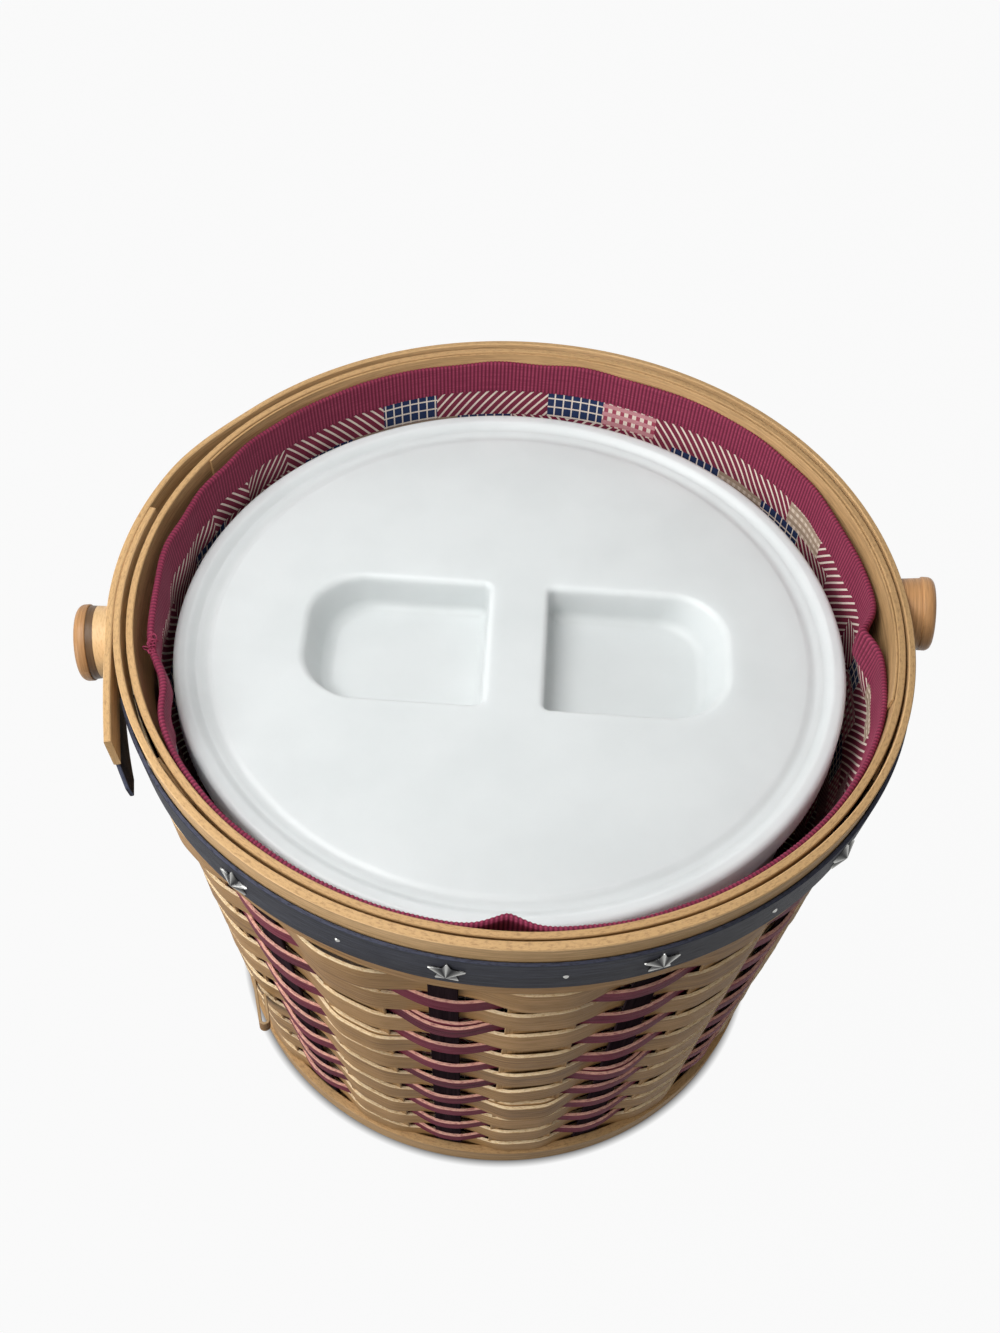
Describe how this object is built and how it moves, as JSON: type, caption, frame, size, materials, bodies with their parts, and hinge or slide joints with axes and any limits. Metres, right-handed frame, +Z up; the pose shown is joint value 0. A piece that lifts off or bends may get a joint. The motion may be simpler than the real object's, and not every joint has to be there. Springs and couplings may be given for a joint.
{
  "type": "lidded ice bucket basket",
  "caption": "Round tapered splint basket with knobs at the rim, a cloth liner, and a white tub inside closed by a lift-off lid with finger pockets.",
  "frame": {"origin": "middle of the base, on the table", "axes": "+Z up, +X through the right knob, -Y the front that the picture shows"},
  "size_m": [0.3212, 0.2934, 0.2245],
  "materials": {
    "natural_splint": "oiled maple splint",
    "rim_wood": "oiled maple band",
    "burgundy_splint": "burgundy stain",
    "navy_splint": "navy stain",
    "knob_wood": "turned, varnished",
    "stud_metal": "dull nickel",
    "liner_cloth": "patchwork cotton",
    "liner_ribbon": "ribbed ribbon",
    "tub_plastic": "moulded, satin",
    "lid_plastic": "moulded, satin"
  },
  "bodies": {
    "basket": {"natural_strip_01": "natural_splint", "natural_strip_02": "natural_splint", "natural_strip_03": "natural_splint", "natural_strip_04": "natural_splint", "natural_strip_05": "natural_splint", "natural_strip_06": "natural_splint", "natural_weaver_01": "natural_splint", "natural_weaver_02": "natural_splint", "natural_weaver_03": "natural_splint", "natural_weaver_04": "natural_splint", "natural_weaver_05": "natural_splint", "natural_weaver_06": "natural_splint", "natural_weaver_07": "natural_splint", "natural_weaver_08": "natural_splint", "natural_weaver_09": "natural_splint", "natural_weaver_10": "natural_splint", "top_hoop": "natural_splint", "base_board": "natural_splint", "base_hoop": "rim_wood", "inner_rim_band": "rim_wood", "outer_rim_band": "rim_wood", "burgundy_weaver_01": "burgundy_splint", "burgundy_weaver_02": "burgundy_splint", "burgundy_weaver_03": "burgundy_splint", "burgundy_weaver_04": "burgundy_splint", "burgundy_weaver_05": "burgundy_splint", "burgundy_weaver_06": "burgundy_splint", "burgundy_weaver_07": "burgundy_splint", "burgundy_weaver_08": "burgundy_splint", "burgundy_weaver_09": "burgundy_splint", "navy_stave_01": "navy_splint", "navy_stave_02": "navy_splint", "navy_stave_03": "navy_splint", "navy_stave_04": "navy_splint", "navy_stave_05": "navy_splint", "navy_stave_06": "navy_splint", "navy_stave_07": "navy_splint", "navy_stave_08": "navy_splint", "navy_stave_09": "navy_splint", "navy_stave_10": "navy_splint", "navy_stave_11": "navy_splint", "navy_stave_12": "navy_splint", "trim_strip": "navy_splint", "star_stud_01": "stud_metal", "star_stud_02": "stud_metal", "star_stud_03": "stud_metal", "star_stud_04": "stud_metal", "star_stud_05": "stud_metal", "star_stud_06": "stud_metal", "star_stud_08": "stud_metal", "star_stud_09": "stud_metal", "star_stud_10": "stud_metal", "star_stud_11": "stud_metal", "star_stud_12": "stud_metal", "knob_left": "knob_wood", "knob_right": "knob_wood", "liner_bag": "liner_cloth", "liner_ribbon": "liner_ribbon"},
    "tub": {"tub": "tub_plastic"},
    "lid": {"lid": "lid_plastic"}
  },
  "joints": [
    {"name": "tub_lift", "type": "slide", "parent": "basket", "child": "tub", "axis": [0, 0, 1], "range_m": [0, 0.24]},
    {"name": "lid_lift", "type": "slide", "parent": "tub", "child": "lid", "axis": [0, 0, 1], "range_m": [0, 0.12]}
  ]
}
